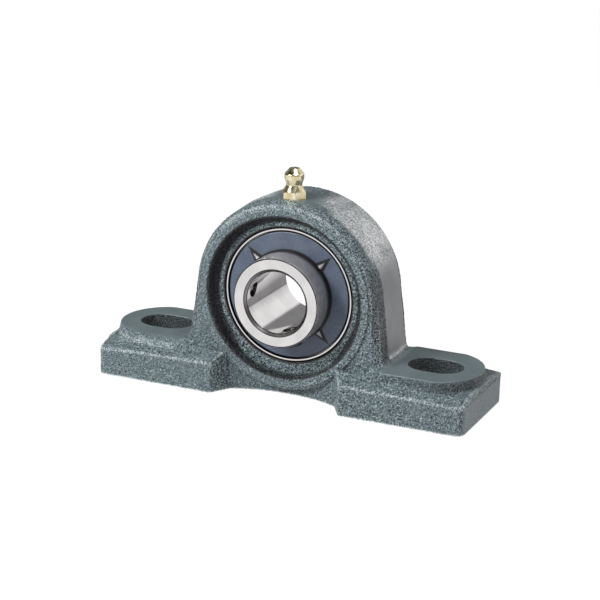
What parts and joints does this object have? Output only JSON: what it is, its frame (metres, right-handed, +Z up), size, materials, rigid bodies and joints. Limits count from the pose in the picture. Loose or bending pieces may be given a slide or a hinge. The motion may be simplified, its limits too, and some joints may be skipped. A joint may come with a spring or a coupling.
{
  "type": "pillow block bearing",
  "caption": "Two-bolt cast pillow block housing with a self-aligning ball bearing insert, set screws and a grease nipple.",
  "frame": {"origin": "middle of the base's underside, under the middle of the insert's ball row", "axes": "+X along the base through both bolt slots, +Y along the shaft towards the back, +Z up; the set screws are at -Y, the front"},
  "size_m": [0.127, 0.038, 0.074],
  "materials": {
    "casting": "blue-grey paint over sand-cast skin",
    "yellow_plating": "bright yellow plated",
    "polished_steel": "polished",
    "spring_steel": "drawn wire",
    "ground_steel": "finely ground",
    "pressed_steel": "pressed sheet",
    "seal_rubber": "moulded, satin",
    "slinger_steel": "blue-grey coated sheet",
    "black_steel": "black oxide"
  },
  "bodies": {
    "housing": {"housing": "casting", "nipple_body": "yellow_plating", "nipple_spring": "spring_steel"},
    "nipple_ball": {"nipple_ball": "polished_steel"},
    "stop_ball": {"stop_ball": "polished_steel"},
    "outer_ring": {"outer_ring": "ground_steel", "seal_front_core": "pressed_steel", "seal_front_lip": "seal_rubber", "seal_back_core": "pressed_steel", "seal_back_lip": "seal_rubber"},
    "inner_ring": {"inner_ring": "ground_steel", "slinger_front": "slinger_steel", "slinger_back": "slinger_steel"},
    "cage": {"cage_front": "pressed_steel", "cage_back": "pressed_steel", "cage_rivets": "pressed_steel"},
    "ball_1": {"ball_1": "polished_steel"},
    "ball_2": {"ball_2": "polished_steel"},
    "ball_3": {"ball_3": "polished_steel"},
    "ball_4": {"ball_4": "polished_steel"},
    "ball_5": {"ball_5": "polished_steel"},
    "ball_6": {"ball_6": "polished_steel"},
    "ball_7": {"ball_7": "polished_steel"},
    "ball_8": {"ball_8": "polished_steel"},
    "screw_ball_1": {"screw_ball_1": "polished_steel"},
    "set_screw_1": {"set_screw_1": "black_steel"},
    "screw_ball_2": {"screw_ball_2": "polished_steel"},
    "set_screw_2": {"set_screw_2": "black_steel"}
  },
  "joints": [
    {"name": "nipple_valve", "type": "slide", "parent": "housing", "child": "nipple_ball", "axis": [0, 0, -1], "range_m": [0, 0.0008], "stiffness_N_per_m": 15, "springref_m": -0.00025, "deforming": ["nipple_spring"]},
    {"name": "insert_tilt", "type": "hinge", "parent": "housing", "child": "stop_ball", "pos_m": [0, 0, 0.0333], "axis": [1, 0, 0], "range_deg": [-3, 3]},
    {"name": "insert_turn", "type": "hinge", "parent": "stop_ball", "child": "outer_ring", "pos_m": [0, 0, 0.0333], "axis": [0, 0, 1], "range_deg": [-3, 3]},
    {"name": "shaft_spin", "type": "hinge", "parent": "outer_ring", "child": "inner_ring", "pos_m": [0, 0, 0.0333], "axis": [0, 1, 0], "continuous": true},
    {"name": "cage_spin", "type": "hinge", "parent": "outer_ring", "child": "cage", "pos_m": [0, 0, 0.0333], "axis": [0, 1, 0], "continuous": true},
    {"name": "ball_1_spin", "type": "hinge", "parent": "cage", "child": "ball_1", "pos_m": [0.01547, 0, 0.03971], "axis": [0, 1, 0], "continuous": true},
    {"name": "ball_2_spin", "type": "hinge", "parent": "cage", "child": "ball_2", "pos_m": [0.00641, 0, 0.04877], "axis": [0, 1, 0], "continuous": true},
    {"name": "ball_3_spin", "type": "hinge", "parent": "cage", "child": "ball_3", "pos_m": [-0.00641, 0, 0.04877], "axis": [0, 1, 0], "continuous": true},
    {"name": "ball_4_spin", "type": "hinge", "parent": "cage", "child": "ball_4", "pos_m": [-0.01547, 0, 0.03971], "axis": [0, 1, 0], "continuous": true},
    {"name": "ball_5_spin", "type": "hinge", "parent": "cage", "child": "ball_5", "pos_m": [-0.01547, 0, 0.02689], "axis": [0, 1, 0], "continuous": true},
    {"name": "ball_6_spin", "type": "hinge", "parent": "cage", "child": "ball_6", "pos_m": [-0.00641, 0, 0.01783], "axis": [0, 1, 0], "continuous": true},
    {"name": "ball_7_spin", "type": "hinge", "parent": "cage", "child": "ball_7", "pos_m": [0.00641, 0, 0.01783], "axis": [0, 1, 0], "continuous": true},
    {"name": "ball_8_spin", "type": "hinge", "parent": "cage", "child": "ball_8", "pos_m": [0.01547, 0, 0.02689], "axis": [0, 1, 0], "continuous": true},
    {"name": "screw_1_travel", "type": "slide", "parent": "inner_ring", "child": "screw_ball_1", "axis": [0.9816, 0, -0.1908], "range_m": [-0.0024, 0.0008]},
    {"name": "screw_1_turn", "type": "hinge", "parent": "screw_ball_1", "child": "set_screw_1", "pos_m": [-0.01163, -0.0133, 0.03556], "axis": [0.9816, 0, -0.1908], "range_deg": [-1080, 360]},
    {"name": "screw_2_travel", "type": "slide", "parent": "inner_ring", "child": "screw_ball_2", "axis": [-0.3256, 0, 0.9455], "range_m": [-0.0024, 0.0008]},
    {"name": "screw_2_turn", "type": "hinge", "parent": "screw_ball_2", "child": "set_screw_2", "pos_m": [0.00386, -0.0133, 0.0221], "axis": [-0.3256, 0, 0.9455], "range_deg": [-1080, 360]}
  ],
  "couplings": [
    {"joint": "cage_spin", "follows": "shaft_spin", "ratio": 0.38152},
    {"joint": "ball_1_spin", "follows": "shaft_spin", "ratio": -1.9916},
    {"joint": "ball_2_spin", "follows": "shaft_spin", "ratio": -1.9916},
    {"joint": "ball_3_spin", "follows": "shaft_spin", "ratio": -1.9916},
    {"joint": "ball_4_spin", "follows": "shaft_spin", "ratio": -1.9916},
    {"joint": "ball_5_spin", "follows": "shaft_spin", "ratio": -1.9916},
    {"joint": "ball_6_spin", "follows": "shaft_spin", "ratio": -1.9916},
    {"joint": "ball_7_spin", "follows": "shaft_spin", "ratio": -1.9916},
    {"joint": "ball_8_spin", "follows": "shaft_spin", "ratio": -1.9916},
    {"joint": "screw_1_turn", "follows": "screw_1_travel", "rad_per_m": 7854},
    {"joint": "screw_2_turn", "follows": "screw_2_travel", "rad_per_m": 7854}
  ]
}
